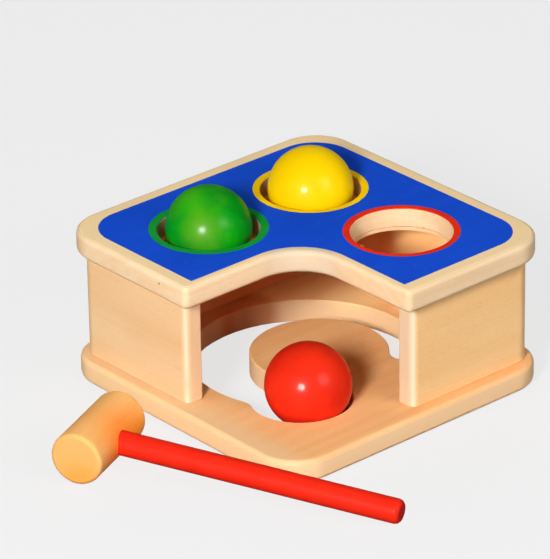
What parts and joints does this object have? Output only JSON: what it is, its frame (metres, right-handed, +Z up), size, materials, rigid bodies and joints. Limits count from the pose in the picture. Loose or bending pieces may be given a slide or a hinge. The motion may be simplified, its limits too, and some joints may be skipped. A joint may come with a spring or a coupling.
{
  "type": "ball pounding bench",
  "caption": "Wooden toy bench: a notched top board with ball holes, on walls over a board with a curved slot that widens to an exit hole, with stained balls and a mallet.",
  "frame": {"origin": "middle of the bottom board's underside, on the ground", "axes": "+Z up; X and Y along the boards' sides, with the top board's notch at +X, -Y"},
  "size_m": [0.2413, 0.2581, 0.1065],
  "materials": {
    "wood": "satin",
    "dowel_wood": "raw",
    "mallet_wood": "satin",
    "rubber": "matt",
    "green_stain": "gloss stain",
    "yellow_stain": "gloss stain",
    "red_stain": "gloss stain",
    "handle_red": "satin stain"
  },
  "bodies": {
    "bench": {"top_board": "wood", "bottom_board": "wood", "front_left_wall": "wood", "front_right_wall": "wood", "back_left_wall": "wood", "back_right_wall": "wood", "front_left_dowel_1": "dowel_wood", "front_left_dowel_2": "dowel_wood", "front_left_dowel_3": "dowel_wood", "front_left_dowel_4": "dowel_wood", "front_right_dowel_1": "dowel_wood", "front_right_dowel_2": "dowel_wood", "front_right_dowel_3": "dowel_wood", "front_right_dowel_4": "dowel_wood", "back_left_dowel_1": "dowel_wood", "back_left_dowel_2": "dowel_wood", "back_left_dowel_3": "dowel_wood", "back_left_dowel_4": "dowel_wood", "back_right_dowel_1": "dowel_wood", "back_right_dowel_2": "dowel_wood", "back_right_dowel_3": "dowel_wood", "back_right_dowel_4": "dowel_wood", "green_retainer": "rubber", "yellow_retainer": "rubber", "red_retainer": "rubber"},
    "green_ball": {"green_ball": "green_stain"},
    "yellow_ball": {"yellow_ball": "yellow_stain"},
    "red_ball": {"red_ball": "red_stain"},
    "mallet": {"mallet_head": "mallet_wood", "mallet_handle": "handle_red"}
  },
  "joints": [
    {"name": "green_ball_slide", "type": "slide", "parent": "bench", "child": "green_ball", "axis": [0, 0, 1], "range_m": [-0.051, 0.04], "deforming": ["green_retainer"]},
    {"name": "yellow_ball_slide", "type": "slide", "parent": "bench", "child": "yellow_ball", "axis": [0, 0, 1], "range_m": [-0.051, 0.04], "deforming": ["yellow_retainer"]},
    {"name": "red_ball_lift", "type": "slide", "parent": "bench", "child": "red_ball", "axis": [0, 0, 1], "range_m": [0, 0.1]},
    {"name": "mallet_lift", "type": "slide", "parent": "bench", "child": "mallet", "axis": [0, 0, 1], "range_m": [0, 0.12]}
  ]
}
